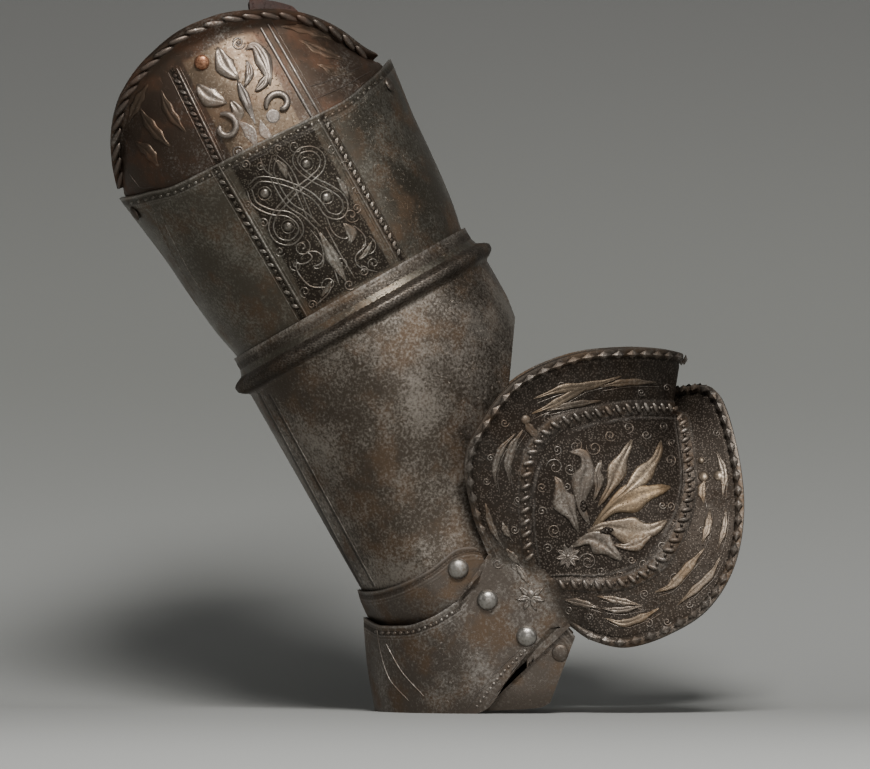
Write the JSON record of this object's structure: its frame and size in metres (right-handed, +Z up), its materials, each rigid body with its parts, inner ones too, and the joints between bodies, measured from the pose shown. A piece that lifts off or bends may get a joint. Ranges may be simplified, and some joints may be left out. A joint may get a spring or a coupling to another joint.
{
  "type": "rerebrace",
  "caption": "Plate armour for the upper arm: a cannon that turns on a lower cannon, jointed elbow lames and a couter whose heart-shaped wing closes round the bend of the arm.",
  "frame": {"origin": "on the floor under the middle of the part's bounding box", "axes": "+X to the front of the arm and the wing, -Y to the outer side, +Z up, with the part standing on the couter's lower rim"},
  "size_m": [0.2996, 0.1426, 0.3373],
  "materials": {
    "steel": "dark worn steel with brown patina and pitting",
    "embossed_steel": "etched and embossed steel with traces of gilding",
    "bright_steel": "rubbed bright",
    "copper": "tarnished copper",
    "leather": "old dark red-brown leather"
  },
  "bodies": {
    "couter": {"couter": "embossed_steel", "lame_rivet_outer": "bright_steel", "lame_rivet_inner": "bright_steel", "forearm_rivet_outer": "bright_steel", "forearm_rivet_inner": "bright_steel"},
    "upper_lame": {"upper_lame": "steel", "cannon_rivet_outer": "bright_steel", "cannon_rivet_inner": "bright_steel"},
    "lower_cannon": {"lower_cannon": "steel"},
    "upper_cannon": {"upper_cannon": "steel", "lame_hinge_back": "steel", "lame_hinge_front": "steel"},
    "top_lame": {"top_lame": "embossed_steel", "arming_tab": "leather", "lame_boss": "copper"},
    "lower_lame": {"lower_lame": "steel", "flush_rivet_outer": "steel", "flush_rivet_inner": "steel"}
  },
  "joints": [
    {"name": "elbow_lame_bend", "type": "hinge", "parent": "couter", "child": "upper_lame", "pos_m": [0.02844, 0.00013, 0.0537], "axis": [0, 1, 0], "range_deg": [0, 14]},
    {"name": "elbow_cannon_bend", "type": "hinge", "parent": "upper_lame", "child": "lower_cannon", "pos_m": [0.01464, 0.00013, 0.0684], "axis": [0, 1, 0], "range_deg": [0, 12]},
    {"name": "turner", "type": "hinge", "parent": "lower_cannon", "child": "upper_cannon", "pos_m": [-0.03699, 0.00013, 0.19836], "axis": [-0.4939, 0, 0.8695], "continuous": true},
    {"name": "top_lame_rock", "type": "hinge", "parent": "upper_cannon", "child": "top_lame", "pos_m": [-0.0781, -0.0224, 0.26672], "axis": [0.8909, -0.0676, 0.4492], "range_deg": [-8, 8]},
    {"name": "forearm_lame_bend", "type": "hinge", "parent": "couter", "child": "lower_lame", "pos_m": [0.04694, 0.00013, 0.0366], "axis": [0, -1, 0], "range_deg": [0, 14]}
  ]
}
